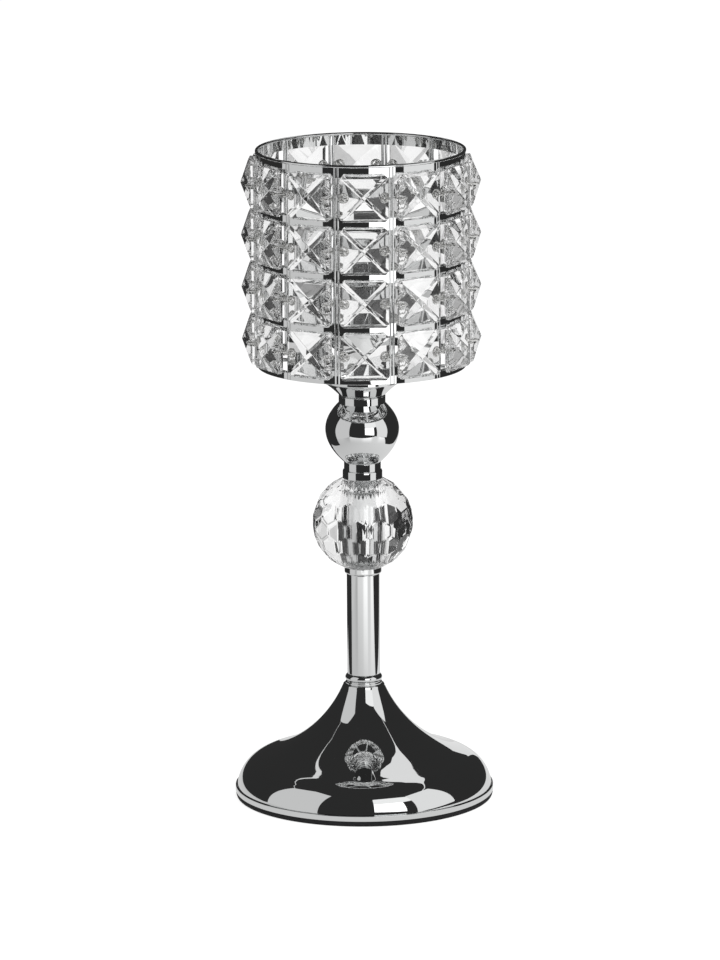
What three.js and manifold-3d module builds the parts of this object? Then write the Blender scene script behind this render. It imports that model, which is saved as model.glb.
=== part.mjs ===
// A crystal candlestick in millimetres, +Z up, with its origin under the middle of the base.
// One tie bolt clamps the stand together: base, collars, stem, glass ball and knob.
// The cup screws onto the top of the bolt. Its chrome cage carries rows of cut glass beads.
// Azimuth 0 is the front, towards -Y.

import * as THREE from 'three';
import { ConvexGeometry } from 'three/addons/geometries/ConvexGeometry.js';
import { mergeVertices } from 'three/addons/utils/BufferGeometryUtils.js';
import Module from 'manifold-3d';

const wasm = await Module();
wasm.setup();

// Base and pad
const baseRadius = 50;
const baseHeight = 42.1;
const padThickness = 2;
const padInset = 0.2; // the pad stops this far inside the lip
const lipRadius = 1.1; // half-round lip round the foot of the base
const lipStep = 0.7; // the dome starts this far inside the lip
const shoulderRadius = 13.9; // convex arc above the lip
const shoulderLean = 7; // degrees, inwards where the dome leaves the lip
const flareRadius = 49; // concave arc up to the neck
const neckRadius = 8;
const neckLand = 8; // solid metal under the neck, which the bolt clamps
const baseWall = 1.6;

// Tie bolt and the thread that holds the cup
const boltRadius = 4;
const boltClearance = 0.3;
const headRadius = 7.5; // across the corners of the hexagon
const headHeight = 5.3;
const threadPitch = 1.25;
const nutTurns = 7; // turns of thread inside the nut
const nutWall = 2.5;

// Stem and its collars
const footCollarRadius = 7.1;
const footCollarHeight = 3.9;
const footFlangeHeight = 0.8;
const footGrooveHeight = 0.4;
const footGrooveDepth = 0.5;
const stemRadius = 6.35;
const stemWall = 1;
const stemLength = 39.8;
const ballCollarRadius = 7.15;
const ballCollarHeight = 2.7;
const collarRound = 0.8; // rounded lower edge of the ball's collar

// Glass ball and the sleeve through it
const ballRadius = 18.9; // from the centre to the middle of a facet
const ballSeatRadius = 7.4; // flat ground at each end of the ball
const facetsPerRow = 14;
const facetRows = 7;
const facetRowStep = 20; // degrees of latitude
const facetTurn = 7; // degrees, so that a facet above the middle faces the front
const sleeveRadius = 6.1;
const sleeveClearance = 0.3;

// Collar above the ball, and the knob
const neckCollarRadius = 7.65;
const neckCollarHeight = 3.4;
const neckStepRadius = 7.1;
const neckStepHeight = 3.1;
const knobRadius = 14.2;
const knobHeight = 26;
const knobBeltHeight = 12.8; // widest place, above the knob's foot
const knobFootRadius = 7.1;
const knobNeckRadius = 9;
const knobNeckHeight = 2.9;
const knobWall = 1.5;

// Cup: flared foot, floor with arms, cage and beads
const coneRim = 2.3; // metal outside the nut at the foot of the flare
const coneTopRadius = 16;
const coneHeight = 5.7; // of the flare; above it the foot is a plain drum
const coneSpread = 4; // the flare is this much wider where its two tangents cross
const coneRise = 4.4; // and this far above its foot
const coneWall = 1.2;
const floorThickness = 1.3;
const armWidth = 3;
const armEvery = 2; // an arm reaches out to every second rib
const boltEndRoom = 0.5; // under the floor
const cupClearance = 0.3;
const cageRadius = 40;
const hoopThickness = 0.8;
const hoopLap = 1.2; // how far a hoop reaches behind the edge of a bead
const rimRadius = 0.6; // rolled edge of the top hoop
const rimShow = 3.6; // top hoop above the beads
const footShow = 2.1; // bottom hoop below the beads
const rodRadius = 0.5;
const rodSpacing = 1.3; // between the two rods of a rib
const columns = 12;
const columnTurn = 1.6; // degrees
const rows = 4;
const rowGap = 2.53;
const beadHeight = 17.6;
const beadSideGap = 0.42; // from a bead's edge to the middle of the rod beside it
const beadCorner = 1.2;
const beadGirdle = 1.4;
const beadBackDepth = 2.2;
const beadBevelWidth = 0.9;
const beadBevelDepth = 0.6;
const beadPointDepth = 3.2;

// Heights of the stack, from the table up
const neckTop = padThickness + baseHeight;
const stemFoot = neckTop + footCollarHeight;
const stemTop = stemFoot + stemLength;
const ballFoot = stemTop + ballCollarHeight;
const ballHeight = 2 * Math.sqrt(ballRadius ** 2 - ballSeatRadius ** 2);
const ballTop = ballFoot + ballHeight;
const knobFoot = ballTop + neckCollarHeight + neckStepHeight;
const cupFoot = knobFoot + knobHeight;
const nutFoot = cupFoot + coneWall;
const nutHeight = nutTurns * threadPitch;
const boltTop = nutFoot + nutHeight + threadPitch;
const cageFoot = boltTop + boltEndRoom;
const rowPitch = beadHeight + rowGap;
const cageTop = cageFoot + footShow + rows * rowPitch - rowGap + rimShow;

// Radii that follow from the fits
const boltHole = boltRadius + boltClearance;
const nutRadius = boltRadius + nutWall;
const coneFootRadius = nutRadius + coneRim;
const hoopMiddle = cageRadius - hoopThickness / 2;
const floorRadius = hoopMiddle - rodRadius - cupClearance;

const fineSides = 36;
const smallSides = 24;
const hoopSides = 36;
const rodSides = 6;

const degrees = (d) => (d * Math.PI) / 180;

const chrome = () => new THREE.MeshStandardMaterial({ color: 0xd8dadc, roughness: 0.05, metalness: 1 });
const zincSteel = () => new THREE.MeshStandardMaterial({ color: 0x9fa2a5, roughness: 0.4, metalness: 1 });
const blackFoam = () => new THREE.MeshStandardMaterial({ color: 0x1c1c1d, roughness: 0.9, metalness: 0 });
const cutGlass = () => new THREE.MeshStandardMaterial({
  color: 0xf4f6f7,
  roughness: 0.02,
  metalness: 0,
  transparent: true,
  opacity: 0.5,
});

function toSolid(geometry) {
  const bare = geometry.index ? geometry.toNonIndexed() : geometry.clone();
  bare.deleteAttribute('normal');
  bare.deleteAttribute('uv');
  const merged = mergeVertices(bare, 1e-4);
  return new wasm.Manifold(new wasm.Mesh({
    numProp: 3,
    vertProperties: new Float32Array(merged.attributes.position.array),
    triVerts: new Uint32Array(merged.index.array),
  }));
}

function toGeometry(solid) {
  const mesh = solid.getMesh();
  const geometry = new THREE.BufferGeometry();
  geometry.setAttribute('position', new THREE.BufferAttribute(mesh.vertProperties, 3));
  geometry.setIndex(new THREE.BufferAttribute(mesh.triVerts, 1));
  geometry.computeVertexNormals();
  return geometry;
}

// A turned piece: the outline runs anticlockwise in (radius, height), outer side upwards.
function turned(outline, sides, arcSteps = 2) {
  const geometry = new THREE.LatheGeometry(outline.getPoints(arcSteps), sides);
  return geometry.rotateX(Math.PI / 2);
}

// A cylinder or hexagon standing on the plane z = foot.
function upright(radius, foot, top, sides) {
  const geometry = new THREE.CylinderGeometry(radius, radius, top - foot, sides);
  return geometry.rotateX(Math.PI / 2).translate(0, 0, (foot + top) / 2);
}

function piece(name, geometry, material) {
  const mesh = new THREE.Mesh(geometry, material);
  mesh.name = name;
  return mesh;
}

// The point at distance a from p and b from q, on the right of the line from p to q.
function meetingPoint(p, a, q, b) {
  const span = p.distanceTo(q);
  const along = (a * a - b * b + span * span) / (2 * span);
  const side = Math.sqrt(a * a - along * along);
  const direction = q.clone().sub(p).divideScalar(span);
  const across = new THREE.Vector2(direction.y, -direction.x);
  return p.clone().addScaledVector(direction, along).addScaledVector(across, side);
}

function basePad() {
  const radius = baseRadius - padInset;
  const outline = new THREE.Path();
  outline.moveTo(0, 0);
  outline.lineTo(radius, 0);
  outline.lineTo(radius, padThickness);
  outline.lineTo(0, padThickness);
  return piece('base_pad', turned(outline, fineSides), blackFoam());
}

// A hollow bell: lip, convex shoulder and concave flare, with a solid neck that the bolt clamps.
function baseShell() {
  const domeRadius = baseRadius - lipStep;
  const domeFoot = padThickness + 2 * lipRadius;
  const neckEdge = new THREE.Vector2(neckRadius, neckTop);
  const lean = degrees(shoulderLean);
  const shoulder = new THREE.Vector2(
    domeRadius - shoulderRadius * Math.cos(lean),
    domeFoot - shoulderRadius * Math.sin(lean),
  );
  const flare = meetingPoint(shoulder, shoulderRadius + flareRadius, neckEdge, flareRadius);
  const bend = flare.clone().sub(shoulder).angle();
  const neckAngle = neckEdge.clone().sub(flare).angle();
  const innerFlare = flareRadius + baseWall;
  const landFoot = neckTop - neckLand;
  const landRadius = flare.x - Math.sqrt(innerFlare ** 2 - (landFoot - flare.y) ** 2);
  const landAngle = new THREE.Vector2(landRadius, landFoot).sub(flare).angle();

  const outline = new THREE.Path();
  outline.moveTo(domeRadius - baseWall, padThickness);
  outline.lineTo(baseRadius - lipRadius, padThickness);
  outline.absarc(baseRadius - lipRadius, padThickness + lipRadius, lipRadius, -Math.PI / 2, Math.PI / 2);
  outline.lineTo(domeRadius, domeFoot);
  outline.absarc(shoulder.x, shoulder.y, shoulderRadius, lean, bend);
  outline.absarc(flare.x, flare.y, flareRadius, bend + Math.PI, neckAngle, true);
  outline.lineTo(boltHole, neckTop);
  outline.lineTo(boltHole, landFoot);
  outline.lineTo(landRadius, landFoot);
  outline.absarc(flare.x, flare.y, innerFlare, landAngle, bend + Math.PI);
  outline.absarc(shoulder.x, shoulder.y, shoulderRadius - baseWall, bend, lean, true);
  outline.closePath();
  return piece('base_shell', turned(outline, fineSides), chrome());
}

// The bolt stands head down under the neck and runs up through the stand into the cup's nut.
function tieBolt() {
  const headTop = neckTop - neckLand;
  const head = toSolid(upright(headRadius, headTop - headHeight, headTop, 6));
  const shank = toSolid(upright(boltRadius, headTop - headHeight / 2, boltTop, smallSides));
  return piece('tie_bolt', toGeometry(head.add(shank)), zincSteel());
}

function footCollar() {
  const grooveFoot = neckTop + footFlangeHeight;
  const beadFoot = grooveFoot + footGrooveHeight;
  const bulge = footCollarRadius - stemRadius;
  const outline = new THREE.Path();
  outline.moveTo(boltHole, neckTop);
  outline.lineTo(footCollarRadius, neckTop);
  outline.lineTo(footCollarRadius, grooveFoot);
  outline.lineTo(footCollarRadius - footGrooveDepth, grooveFoot);
  outline.lineTo(footCollarRadius - footGrooveDepth, beadFoot);
  outline.lineTo(stemRadius, beadFoot);
  outline.quadraticCurveTo(stemRadius + 2 * bulge, (beadFoot + stemFoot) / 2, stemRadius, stemFoot);
  outline.lineTo(boltHole, stemFoot);
  outline.closePath();
  return piece('foot_collar', turned(outline, smallSides, 5), chrome());
}

function stemTube() {
  const outline = new THREE.Path();
  outline.moveTo(stemRadius - stemWall, stemFoot);
  outline.lineTo(stemRadius, stemFoot);
  outline.lineTo(stemRadius, stemTop);
  outline.lineTo(stemRadius - stemWall, stemTop);
  outline.closePath();
  return piece('stem_tube', turned(outline, smallSides), chrome());
}

// The collar under the ball and the sleeve that shows inside the glass are one turned piece.
function ballSpindle() {
  const sleeveTop = ballTop - sleeveClearance;
  const outline = new THREE.Path();
  outline.moveTo(boltHole, stemTop);
  outline.lineTo(ballCollarRadius - collarRound, stemTop);
  outline.absarc(ballCollarRadius - collarRound, stemTop + collarRound, collarRound, -Math.PI / 2, 0);
  outline.lineTo(ballCollarRadius, ballFoot);
  outline.lineTo(sleeveRadius, ballFoot);
  outline.lineTo(sleeveRadius, sleeveTop);
  outline.lineTo(boltHole, sleeveTop);
  outline.closePath();
  return piece('ball_spindle', turned(outline, smallSides), chrome());
}

// A block ground by staggered rows of flats, then bored for the sleeve.
function crystalBall() {
  const block = new THREE.BoxGeometry(4 * ballRadius, 4 * ballRadius, ballHeight);
  let glass = toSolid(block);
  const turn = 360 / facetsPerRow;
  const middleRow = (facetRows - 1) / 2;
  for (let row = 0; row < facetRows; row += 1) {
    const latitude = degrees((row - middleRow) * facetRowStep);
    const stagger = (row - middleRow) % 2 === 0 ? turn / 2 : 0;
    for (let facet = 0; facet < facetsPerRow; facet += 1) {
      const azimuth = degrees(facetTurn + stagger + facet * turn);
      const inward = [
        -Math.sin(azimuth) * Math.cos(latitude),
        Math.cos(azimuth) * Math.cos(latitude),
        -Math.sin(latitude),
      ];
      glass = glass.trimByPlane(inward, -ballRadius);
    }
  }
  const bore = upright(sleeveRadius + sleeveClearance, -ballHeight, ballHeight, smallSides);
  const mesh = piece('crystal_ball', toGeometry(glass.subtract(toSolid(bore))), cutGlass());
  mesh.position.z = ballFoot + ballHeight / 2;
  return mesh;
}

function neckCollar() {
  const stepFoot = ballTop + neckCollarHeight;
  const outline = new THREE.Path();
  outline.moveTo(boltHole, ballTop);
  outline.lineTo(neckCollarRadius, ballTop);
  outline.lineTo(neckCollarRadius, stepFoot);
  outline.lineTo(neckStepRadius, stepFoot);
  outline.lineTo(neckStepRadius, knobFoot);
  outline.lineTo(boltHole, knobFoot);
  outline.closePath();
  return piece('neck_collar', turned(outline, smallSides), chrome());
}

// A hollow spun knob: two soft cones that meet in a rounded belt, and a short neck.
function knob() {
  const neckFoot = cupFoot - knobNeckHeight;
  const belt = knobFoot + knobBeltHeight;
  const neckInside = Math.max(knobNeckRadius - knobWall, boltHole);
  const footInside = Math.max(knobFootRadius - knobWall, boltHole);
  const outline = new THREE.Path();
  outline.moveTo(boltHole, knobFoot);
  outline.lineTo(knobFootRadius, knobFoot);
  outline.quadraticCurveTo(knobRadius, (knobFoot + belt) / 2, knobRadius, belt);
  outline.quadraticCurveTo(knobRadius, (belt + neckFoot) / 2, knobNeckRadius, neckFoot);
  outline.lineTo(knobNeckRadius, cupFoot);
  outline.lineTo(boltHole, cupFoot);
  outline.lineTo(boltHole, cupFoot - knobWall);
  outline.lineTo(neckInside, cupFoot - knobWall);
  outline.lineTo(neckInside, neckFoot);
  outline.lineTo(knobRadius - knobWall, belt);
  outline.lineTo(footInside, knobFoot + knobWall);
  outline.lineTo(boltHole, knobFoot + knobWall);
  outline.closePath();
  return piece('knob', turned(outline, fineSides, 5), chrome());
}

function cupNut() {
  const outline = new THREE.Path();
  outline.moveTo(boltHole, nutFoot);
  outline.lineTo(nutRadius, nutFoot);
  outline.lineTo(nutRadius, nutFoot + nutHeight);
  outline.lineTo(boltHole, nutFoot + nutHeight);
  outline.closePath();
  return piece('cup_nut', turned(outline, smallSides), zincSteel());
}

// The azimuth of the middle of a rib, in degrees.
const ribAzimuth = (rib) => columnTurn + ((rib + 0.5) * 360) / columns;

// The flared foot that stands on the knob, and the floor that the candle stands on.
// The floor is open: arms join its middle to the ribs.
function cupDish() {
  const bendRadius = coneFootRadius + coneSpread;
  const bendHeight = cupFoot + coneRise;
  const drumFoot = cupFoot + coneHeight;
  const floorTop = cageFoot + floorThickness;
  const outline = new THREE.Path();
  outline.moveTo(0, cageFoot);
  outline.lineTo(coneTopRadius - coneWall, cageFoot);
  outline.lineTo(coneTopRadius - coneWall, drumFoot + coneWall);
  outline.quadraticCurveTo(bendRadius - coneWall, bendHeight + coneWall, coneFootRadius - coneWall, nutFoot);
  outline.lineTo(boltHole, nutFoot);
  outline.lineTo(boltHole, cupFoot);
  outline.lineTo(coneFootRadius, cupFoot);
  outline.quadraticCurveTo(bendRadius, bendHeight, coneTopRadius, drumFoot);
  outline.lineTo(coneTopRadius, floorTop);
  outline.lineTo(0, floorTop);
  let dish = toSolid(turned(outline, fineSides, 5));
  const armFoot = coneTopRadius - armWidth / 2;
  for (let rib = 0; rib < columns; rib += armEvery) {
    const arm = new THREE.BoxGeometry(armWidth, floorRadius - armFoot, floorThickness);
    arm.translate(0, -(floorRadius + armFoot) / 2, (cageFoot + floorTop) / 2);
    dish = dish.add(toSolid(arm.rotateZ(degrees(ribAzimuth(rib)))));
  }
  return piece('cup_dish', toGeometry(dish), chrome());
}

// A flat hoop between two heights.
function hoop(foot, top) {
  const inside = cageRadius - hoopThickness;
  const outline = new THREE.Path();
  outline.moveTo(inside, foot);
  outline.lineTo(cageRadius, foot);
  outline.lineTo(cageRadius, top);
  outline.lineTo(inside, top);
  outline.closePath();
  return turned(outline, hoopSides);
}

// The top hoop ends in a rolled edge.
function rimHoop() {
  const inside = cageRadius - hoopThickness;
  const foot = cageTop - rimShow - hoopLap;
  const rollMiddle = cageTop - rimRadius;
  const half = Math.asin(Math.min(1, hoopThickness / 2 / rimRadius));
  const outline = new THREE.Path();
  outline.moveTo(inside, foot);
  outline.lineTo(cageRadius, foot);
  outline.absarc(hoopMiddle, rollMiddle, rimRadius, half - Math.PI / 2, 1.5 * Math.PI - half);
  outline.closePath();
  return turned(outline, hoopSides, 3);
}

// Hoops soldered to pairs of upright rods, plated as one piece.
function cage() {
  let frame = toSolid(rimHoop());
  frame = frame.add(toSolid(hoop(cageFoot, cageFoot + footShow + hoopLap)));
  for (let row = 1; row < rows; row += 1) {
    const gapFoot = cageFoot + footShow + row * rowPitch - rowGap;
    frame = frame.add(toSolid(hoop(gapFoot - hoopLap, gapFoot + rowGap + hoopLap)));
  }
  const rodHalfTurn = Math.asin(rodSpacing / 2 / hoopMiddle);
  for (let rib = 0; rib < columns; rib += 1) {
    for (const side of [-1, 1]) {
      const azimuth = degrees(ribAzimuth(rib)) + side * rodHalfTurn;
      const rod = upright(rodRadius, cageFoot, cageTop - rimRadius, rodSides);
      rod.rotateZ(azimuth).translate(hoopMiddle * Math.sin(azimuth), -hoopMiddle * Math.cos(azimuth), 0);
      frame = frame.add(toSolid(rod));
    }
  }
  return piece('cup_cage', toGeometry(frame), chrome());
}

// A square bead, pointed on both faces, lying on the front of the cage with its middle at z = 0.
function beadGeometry() {
  const rodAzimuth = Math.PI / columns - Math.asin(rodSpacing / 2 / hoopMiddle);
  const halfWidth = hoopMiddle * Math.sin(rodAzimuth) - beadSideGap;
  const halfHeight = beadHeight / 2;
  const lapDepth = (beadBackDepth * hoopLap) / halfHeight;
  const back = cageRadius + cupClearance + lapDepth;
  const front = back + beadGirdle;
  const bevelTop = front + beadBevelDepth;
  const points = [];
  for (const x of [-1, 1]) {
    for (const z of [-1, 1]) {
      for (const y of [back, front]) {
        points.push(new THREE.Vector3(x * (halfWidth - beadCorner), -y, z * halfHeight));
        points.push(new THREE.Vector3(x * halfWidth, -y, z * (halfHeight - beadCorner)));
      }
      const tableX = x * (halfWidth - beadBevelWidth);
      const tableZ = z * (halfHeight - beadBevelWidth);
      points.push(new THREE.Vector3(tableX, -bevelTop, tableZ));
    }
  }
  points.push(new THREE.Vector3(0, -(bevelTop + beadPointDepth), 0));
  points.push(new THREE.Vector3(0, -(back - beadBackDepth), 0));
  return new ConvexGeometry(points);
}

function beadColumn(column) {
  const group = new THREE.Group();
  group.rotation.z = degrees(columnTurn + (column * 360) / columns);
  for (let row = 0; row < rows; row += 1) {
    const name = `bead_row${row + 1}_col${String(column + 1).padStart(2, '0')}`;
    const bead = piece(name, beadGeometry(), cutGlass());
    bead.position.z = cageTop - rimShow - beadHeight / 2 - row * rowPitch;
    group.add(bead);
  }
  return group;
}

const stand = new THREE.Group();
stand.add(basePad(), baseShell(), tieBolt(), footCollar(), stemTube());
stand.add(ballSpindle(), crystalBall(), neckCollar(), knob());

const cup = new THREE.Group();
cup.add(cupDish(), cage());
for (let column = 0; column < columns; column += 1) {
  cup.add(beadColumn(column));
}

const candlestick = new THREE.Group();
candlestick.add(stand, cupNut(), cup);

export default candlestick;
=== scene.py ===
import math

import bmesh
import bpy
from mathutils import Matrix, Vector
from mathutils.geometry import interpolate_bezier


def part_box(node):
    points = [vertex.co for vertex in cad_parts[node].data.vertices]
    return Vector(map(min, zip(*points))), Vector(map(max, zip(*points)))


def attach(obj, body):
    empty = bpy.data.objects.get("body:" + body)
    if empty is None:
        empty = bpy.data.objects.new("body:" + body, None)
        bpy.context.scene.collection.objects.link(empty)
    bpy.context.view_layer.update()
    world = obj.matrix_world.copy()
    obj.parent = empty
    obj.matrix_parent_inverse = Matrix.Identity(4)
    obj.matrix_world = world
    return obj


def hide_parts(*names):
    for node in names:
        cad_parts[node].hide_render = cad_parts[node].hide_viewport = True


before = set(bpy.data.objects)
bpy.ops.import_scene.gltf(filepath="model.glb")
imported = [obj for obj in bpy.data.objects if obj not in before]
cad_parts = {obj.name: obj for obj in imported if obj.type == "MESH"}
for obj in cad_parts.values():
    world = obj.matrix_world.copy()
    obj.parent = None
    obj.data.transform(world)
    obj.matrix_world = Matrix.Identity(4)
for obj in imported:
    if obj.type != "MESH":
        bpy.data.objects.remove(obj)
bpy.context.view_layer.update()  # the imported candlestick: bodies stand, cup_nut and cup
mm = 0.001


# Finishes

def linear(hexColour):
    parts = [int(hexColour[i:i + 2], 16) / 255 for i in (1, 3, 5)]
    return [p / 12.92 if p <= 0.04045 else ((p + 0.055) / 1.055) ** 2.4 for p in parts] + [1.0]


def addNode(tree, kind, inputs=None, **settings):
    node = tree.nodes.new(kind)
    for key, value in settings.items():
        setattr(node, key, value)
    for socket, value in (inputs or {}).items():
        if isinstance(value, bpy.types.NodeSocket):
            tree.links.new(value, node.inputs[socket])
        else:
            node.inputs[socket].default_value = value
    return node


def newFinish(name):
    finish = bpy.data.materials.new(name)
    finish.use_nodes = True
    tree = finish.node_tree
    tree.nodes.clear()
    return finish, tree


def endFinish(tree, shader):
    addNode(tree, "ShaderNodeOutputMaterial", {"Surface": shader})


# Chromium plate over polished steel: a cold clean mirror, a little hazy where the buffing wheel left it
def chromePlate():
    look = {
        "colour": "#e1e2e2", "hazeSize": 7 * mm, "hazeFrom": 0.35, "hazeTo": 0.75, "clear": 0.008,
        "hazy": 0.045, "waveSize": 5 * mm, "waveDepth": 0.02 * mm, "waveStrength": 0.02,
    }
    finish, tree = newFinish("chromePlate")
    place = addNode(tree, "ShaderNodeTexCoord").outputs["Object"]
    haze = addNode(tree, "ShaderNodeTexNoise", {"Vector": place, "Scale": 1 / look["hazeSize"], "Detail": 6})
    rough = addNode(
        tree, "ShaderNodeMapRange",
        {"Value": haze.outputs["Fac"], "From Min": look["hazeFrom"], "From Max": look["hazeTo"],
         "To Min": look["clear"], "To Max": look["hazy"]},
    )
    wave = addNode(tree, "ShaderNodeTexNoise", {"Vector": place, "Scale": 1 / look["waveSize"], "Detail": 1})
    bump = addNode(
        tree, "ShaderNodeBump",
        {"Height": wave.outputs["Fac"], "Strength": look["waveStrength"], "Distance": look["waveDepth"]},
    )
    shader = addNode(
        tree, "ShaderNodeBsdfPrincipled",
        {"Base Color": linear(look["colour"]), "Metallic": 1.0, "Roughness": rough.outputs["Result"],
         "Normal": bump.outputs["Normal"]},
    )
    endFinish(tree, shader.outputs["BSDF"])
    return finish


# Cut lead crystal, ground flat and polished: water clear, strong refraction, faint lap marks on the flats
def cutCrystal():
    look = {
        "colour": "#fcfcfc", "ior": 1.54, "lapSize": 2.5 * mm, "lapFrom": 0.45, "lapTo": 0.8,
        "polished": 0.0, "lapped": 0.006,
    }
    finish, tree = newFinish("cutCrystal")
    place = addNode(tree, "ShaderNodeTexCoord").outputs["Object"]
    lap = addNode(tree, "ShaderNodeTexNoise", {"Vector": place, "Scale": 1 / look["lapSize"], "Detail": 4})
    rough = addNode(
        tree, "ShaderNodeMapRange",
        {"Value": lap.outputs["Fac"], "From Min": look["lapFrom"], "From Max": look["lapTo"],
         "To Min": look["polished"], "To Max": look["lapped"]},
    )
    shader = addNode(
        tree, "ShaderNodeBsdfPrincipled",
        {"Base Color": linear(look["colour"]), "Roughness": rough.outputs["Result"],
         "IOR": look["ior"], "Transmission Weight": 1.0},
    )
    endFinish(tree, shader.outputs["BSDF"])
    return finish


# Drilled glass: the drill leaves the walls of the wire holes matt and whitish
def drilledGlass():
    look = {
        "colour": "#f4f6f7", "ior": 1.54, "clear": 0.4, "gritSize": 0.3 * mm, "smooth": 0.3, "gritty": 0.5,
    }
    finish, tree = newFinish("drilledGlass")
    place = addNode(tree, "ShaderNodeTexCoord").outputs["Object"]
    grit = addNode(tree, "ShaderNodeTexNoise", {"Vector": place, "Scale": 1 / look["gritSize"], "Detail": 3})
    rough = addNode(
        tree, "ShaderNodeMapRange",
        {"Value": grit.outputs["Fac"], "To Min": look["smooth"], "To Max": look["gritty"]},
    )
    shader = addNode(
        tree, "ShaderNodeBsdfPrincipled",
        {"Base Color": linear(look["colour"]), "Roughness": rough.outputs["Result"],
         "IOR": look["ior"], "Transmission Weight": look["clear"]},
    )
    endFinish(tree, shader.outputs["BSDF"])
    return finish


# Bright nickel-plated steel wire, drawn and then twisted by hand: fine lines and small dull scuffs
def nickelWire():
    look = {
        "colour": "#e6e6e4", "scuffed": "#b4b3b0", "scuffSize": 0.8 * mm, "scuffFrom": 0.55, "scuffTo": 0.8,
        "bright": 0.1, "dull": 0.3,
    }
    finish, tree = newFinish("nickelWire")
    place = addNode(tree, "ShaderNodeTexCoord").outputs["Object"]
    scuff = addNode(
        tree, "ShaderNodeTexNoise", {"Vector": place, "Scale": 1 / look["scuffSize"], "Detail": 5},
    )
    share = addNode(
        tree, "ShaderNodeMapRange",
        {"Value": scuff.outputs["Fac"], "From Min": look["scuffFrom"], "From Max": look["scuffTo"]},
    ).outputs["Result"]
    colour = addNode(
        tree, "ShaderNodeMix",
        {"Factor": share, "A": linear(look["colour"]), "B": linear(look["scuffed"])},
        data_type="RGBA",
    )
    rough = addNode(
        tree, "ShaderNodeMapRange",
        {"Value": share, "To Min": look["bright"], "To Max": look["dull"]},
    )
    shader = addNode(
        tree, "ShaderNodeBsdfPrincipled",
        {"Base Color": colour.outputs["Result"], "Metallic": 1.0, "Roughness": rough.outputs["Result"]},
    )
    endFinish(tree, shader.outputs["BSDF"])
    return finish


# Zinc-plated steel of the bolt and nut: satin grey with cloudy passivation
def zincSteel():
    look = {"colour": "#a9adb1", "cloudy": "#83878d", "cloudSize": 4 * mm, "satin": 0.28, "matt": 0.5}
    finish, tree = newFinish("zincSteel")
    place = addNode(tree, "ShaderNodeTexCoord").outputs["Object"]
    cloud = addNode(
        tree, "ShaderNodeTexNoise", {"Vector": place, "Scale": 1 / look["cloudSize"], "Detail": 7},
    )
    colour = addNode(
        tree, "ShaderNodeMix",
        {"Factor": cloud.outputs["Fac"], "A": linear(look["colour"]), "B": linear(look["cloudy"])},
        data_type="RGBA",
    )
    rough = addNode(
        tree, "ShaderNodeMapRange",
        {"Value": cloud.outputs["Fac"], "To Min": look["satin"], "To Max": look["matt"]},
    )
    shader = addNode(
        tree, "ShaderNodeBsdfPrincipled",
        {"Base Color": colour.outputs["Result"], "Metallic": 1.0, "Roughness": rough.outputs["Result"]},
    )
    endFinish(tree, shader.outputs["BSDF"])
    return finish


# Black closed-cell foam, die cut: dull, with open cells on its cut edge, drawn twice as coarse to show
def closedCellFoam():
    look = {
        "colour": "#151516", "worn": "#2b2b2d", "dustSize": 6 * mm, "cellSize": 0.6 * mm,
        "depth": 0.15 * mm, "relief": 0.8, "dull": 0.92,
    }
    finish, tree = newFinish("closedCellFoam")
    place = addNode(tree, "ShaderNodeTexCoord").outputs["Object"]
    cells = addNode(tree, "ShaderNodeTexVoronoi", {"Vector": place, "Scale": 1 / look["cellSize"]})
    dust = addNode(tree, "ShaderNodeTexNoise", {"Vector": place, "Scale": 1 / look["dustSize"], "Detail": 6})
    colour = addNode(
        tree, "ShaderNodeMix",
        {"Factor": dust.outputs["Fac"], "A": linear(look["colour"]), "B": linear(look["worn"])},
        data_type="RGBA",
    )
    bump = addNode(
        tree, "ShaderNodeBump",
        {"Height": cells.outputs["Distance"], "Strength": look["relief"], "Distance": look["depth"]},
    )
    shader = addNode(
        tree, "ShaderNodeBsdfPrincipled",
        {"Base Color": colour.outputs["Result"], "Roughness": look["dull"], "Normal": bump.outputs["Normal"]},
    )
    endFinish(tree, shader.outputs["BSDF"])
    return finish


chrome = chromePlate()
crystal = cutCrystal()
drilled = drilledGlass()
wireFinish = nickelWire()
zinc = zincSteel()
foam = closedCellFoam()
print("finishes made")


# Turning and bending

holdLoop = 0.03 * mm  # extra rings this near a line's ends keep it straight under smooth shading
curvePoints = 17  # on each curved stretch of an outline
mergeReach = 0.001 * mm  # points nearer than this become one


def drawOutline(bm, start, steps):
    # an outline in (radius, height): lines go to a point, arcs turn about a centre, curves bend by one handle
    last = bmesh.ops.create_vert(bm, co=(start[0], 0, start[1]))["vert"][0]
    first = last
    for kind, *values in steps:
        if kind == "arc":
            radius, height, degrees, parts = values
            turned = bmesh.ops.spin(
                bm, geom=[last], cent=(radius, 0, height), axis=(0, -1, 0),
                angle=math.radians(degrees), steps=parts,
            )
            last = [v for v in turned["geom_last"] if isinstance(v, bmesh.types.BMVert)][0]
            continue
        begin = Vector((last.co.x, last.co.z, 0))
        end = Vector((*values[-2:], 0))
        length = (end - begin).length
        points = [end]
        if kind == "line" and length > 10 * holdLoop:
            points = [begin.lerp(end, holdLoop / length), end.lerp(begin, holdLoop / length), end]
        if kind == "curve":
            handle = Vector((*values[:2], 0))
            points = interpolate_bezier(
                begin, begin.lerp(handle, 2 / 3), end.lerp(handle, 2 / 3), end, curvePoints,
            )[1:]
        for point in points:
            last = bmesh.ops.extrude_vert_indiv(bm, verts=[last])["verts"][0]
            last.co = (point.x, 0, point.y)
    return first, last


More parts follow.
